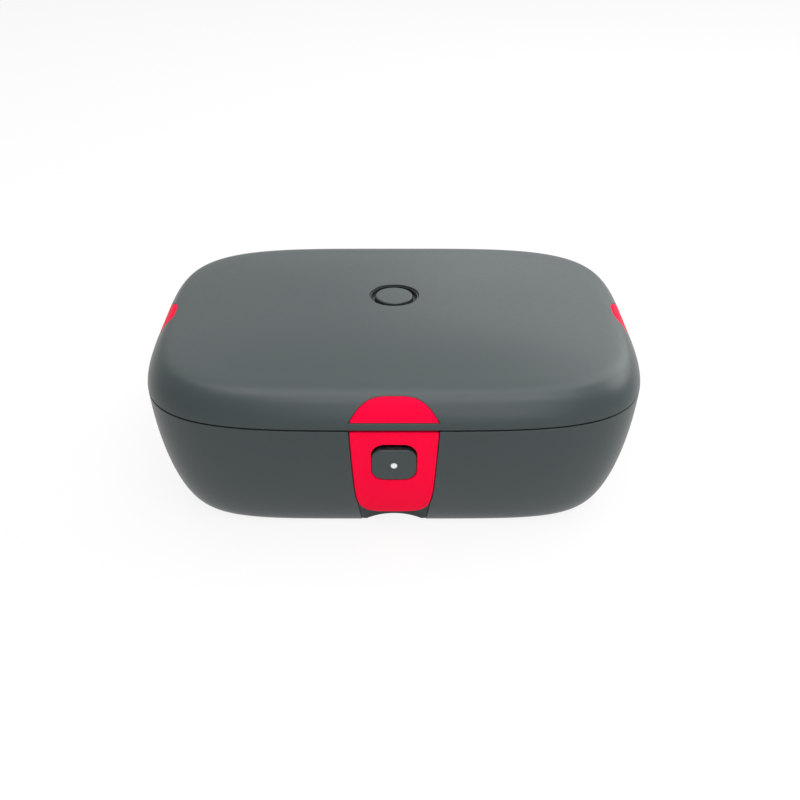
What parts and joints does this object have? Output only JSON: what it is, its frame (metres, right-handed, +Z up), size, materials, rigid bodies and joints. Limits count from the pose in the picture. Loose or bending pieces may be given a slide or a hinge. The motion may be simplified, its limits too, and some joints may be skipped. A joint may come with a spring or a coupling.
{
  "type": "electric lunch box",
  "caption": "Rounded electric lunch box: heated base with a steel dish, hinged lid with a vent button, and sprung snap latches at the front and sides.",
  "frame": {"origin": "centre of the bounding box at the level that the rubber feet stand on", "axes": "+X to the right, +Y to the back where the hinge is, +Z up; the front latch and power button face -Y"},
  "size_m": [0.25, 0.1904, 0.0879],
  "materials": {
    "shell_grey": "fine matt moulded plastic",
    "inner_grey": "matt moulded plastic",
    "latch_red": "satin moulded plastic",
    "vent_black": "matt moulded plastic",
    "inlet_black": "matt moulded plastic",
    "light_white": "diffusing plastic",
    "steel": "brushed",
    "screw_steel": "plain",
    "aluminium": "satin",
    "foot_rubber": "matt",
    "seal_silicone": "matt",
    "insulator": "sheet",
    "element": "foil",
    "board": "printed board",
    "component": "plain",
    "wire": "insulated lead"
  },
  "bodies": {
    "base": {"base_shell": "shell_grey", "bottom_cover": "inner_grey", "bottom_screws": "screw_steel", "rubber_feet": "foot_rubber", "base_liner": "inner_grey", "heating_plate": "aluminium", "heating_element": "element", "heat_insulator": "insulator", "element_clamp": "screw_steel", "clamp_screws": "screw_steel", "thermostat": "screw_steel", "thermal_fuse": "element", "temperature_sensor": "component", "control_board": "board", "board_capacitors": "component", "inner_wiring": "wire", "mains_inlet": "inlet_black", "inlet_pins": "screw_steel", "switch_board": "board", "power_switch": "component", "indicator_led": "light_white", "front_latch_housing": "inner_grey", "left_latch_housing": "inner_grey", "right_latch_housing": "inner_grey", "front_latch_pin": "screw_steel", "left_latch_pin": "screw_steel", "right_latch_pin": "screw_steel", "front_latch_spring": "screw_steel", "left_latch_spring": "screw_steel", "right_latch_spring": "screw_steel", "base_hinge_brackets": "inner_grey", "hinge_screws": "screw_steel", "hinge_pins": "screw_steel", "steel_dish": "steel", "dish_handles": "steel", "button_spring": "screw_steel"},
    "lid": {"lid_shell": "shell_grey", "lid_liner": "inner_grey", "lid_screws": "screw_steel", "lid_gasket": "seal_silicone", "lid_hinge_brackets": "inner_grey", "vent_housing": "vent_black", "vent_spring": "screw_steel", "vent_valve_seat": "seal_silicone", "front_keeper": "latch_red", "left_keeper": "latch_red", "right_keeper": "latch_red"},
    "vent_button": {"vent_button": "shell_grey", "vent_plug": "seal_silicone"},
    "power_button": {"power_button": "shell_grey", "button_light_pipe": "light_white"},
    "front_latch": {"front_latch_flap": "latch_red", "front_latch_hook": "latch_red"},
    "left_latch": {"left_latch_flap": "latch_red", "left_latch_hook": "latch_red"},
    "right_latch": {"right_latch_flap": "latch_red", "right_latch_hook": "latch_red"}
  },
  "joints": [
    {"name": "lid_hinge", "type": "hinge", "parent": "base", "child": "lid", "pos_m": [0, 0.092, 0.0662], "axis": [-1, 0, 0], "range_deg": [0, 100], "deforming": ["front_latch_hook", "left_latch_hook", "right_latch_hook"]},
    {"name": "front_latch_hinge", "type": "hinge", "parent": "base", "child": "front_latch", "pos_m": [0, -0.09001, 0.061], "axis": [-1, 0, 0], "range_deg": [0, 20], "stiffness_Nm_per_rad": 0.04, "springref_deg": -14.32, "deforming": ["front_latch_spring"]},
    {"name": "left_latch_hinge", "type": "hinge", "parent": "base", "child": "left_latch", "pos_m": [-0.11976, -0.0027, 0.061], "axis": [0, 1, 0], "range_deg": [0, 20], "stiffness_Nm_per_rad": 0.04, "springref_deg": -14.32, "deforming": ["left_latch_spring"]},
    {"name": "right_latch_hinge", "type": "hinge", "parent": "base", "child": "right_latch", "pos_m": [0.11976, -0.0027, 0.061], "axis": [0, -1, 0], "range_deg": [0, 20], "stiffness_Nm_per_rad": 0.04, "springref_deg": -14.32, "deforming": ["right_latch_spring"]},
    {"name": "power_button_press", "type": "slide", "parent": "base", "child": "power_button", "axis": [0, 1, 0], "range_m": [0, 0.0006], "stiffness_N_per_m": 400, "springref_m": -0.0008, "deforming": ["button_spring"]},
    {"name": "vent_button_press", "type": "slide", "parent": "lid", "child": "vent_button", "axis": [0, 0, -1], "range_m": [0, 0.002], "stiffness_N_per_m": 300, "springref_m": -0.002, "deforming": ["vent_spring"]}
  ]
}
